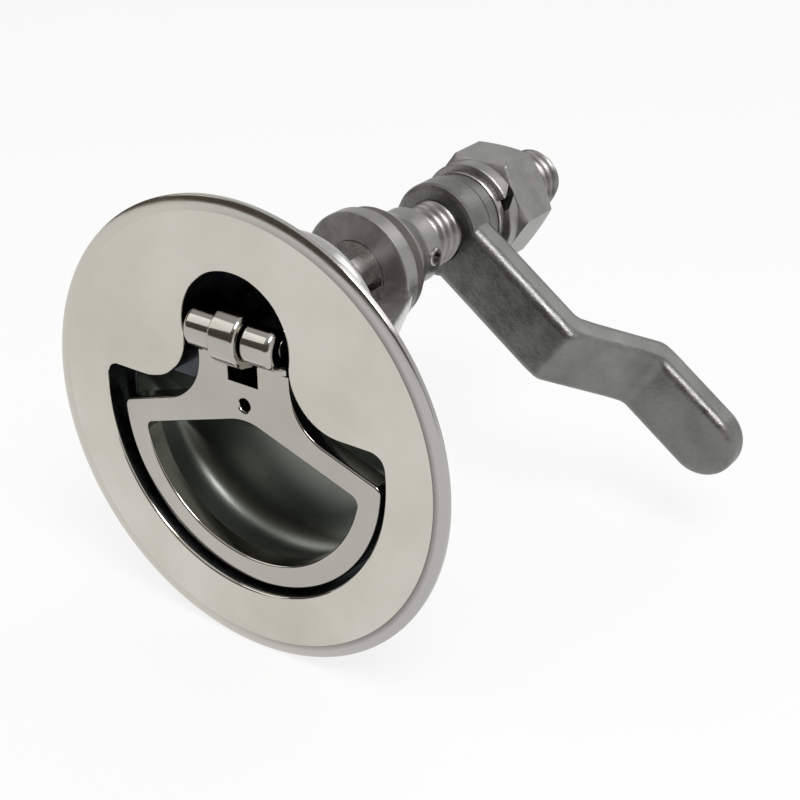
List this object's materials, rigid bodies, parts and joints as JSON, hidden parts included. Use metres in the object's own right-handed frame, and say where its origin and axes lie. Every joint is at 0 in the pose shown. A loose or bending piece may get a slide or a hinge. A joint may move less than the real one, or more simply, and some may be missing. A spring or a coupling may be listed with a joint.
{
  "type": "hatch latch",
  "caption": "Round flush lift-handle compression latch with a keyhole recess, folding D handle, threaded spindle and an offset cam arm.",
  "frame": {"origin": "centre of the round plate, on its rear face where it rests on the hatch skin", "axes": "+Y from the plate into the hatch along the spindle, +Z from the finger bowl to the handle's pin, +X to the right seen from the front"},
  "size_m": [0.0903, 0.0898, 0.0762],
  "materials": {
    "polished_steel": "mirror polished cast stainless steel",
    "cast_steel": "tumbled stainless steel",
    "nylon": "matt",
    "seal_rubber": "matt"
  },
  "bodies": {
    "body": {"housing": "polished_steel", "shaft_seal": "seal_rubber"},
    "spindle": {"spindle": "cast_steel", "thrust_washer": "nylon", "taper_collar": "cast_steel", "collar_pin": "cast_steel"},
    "handle": {"handle": "polished_steel", "handle_pin": "cast_steel"},
    "cam": {"cam_arm": "cast_steel", "flat_washer": "cast_steel", "lock_washer": "cast_steel", "lock_nut": "cast_steel"}
  },
  "joints": [
    {"name": "spindle_slide", "type": "slide", "parent": "body", "child": "spindle", "axis": [0, 1, 0], "range_m": [0, 0.00241]},
    {"name": "handle_lift", "type": "hinge", "parent": "spindle", "child": "handle", "pos_m": [0, 0.0006, 0.0165], "axis": [-1, 0, 0], "range_deg": [0, 90]},
    {"name": "cam_turn", "type": "hinge", "parent": "spindle", "child": "cam", "pos_m": [0, 0.05, 0.0165], "axis": [0, 1, 0], "range_deg": [-90, 90]}
  ],
  "couplings": [
    {"joint": "spindle_slide", "follows": "handle_lift", "m_per_rad": 0.0015279}
  ]
}
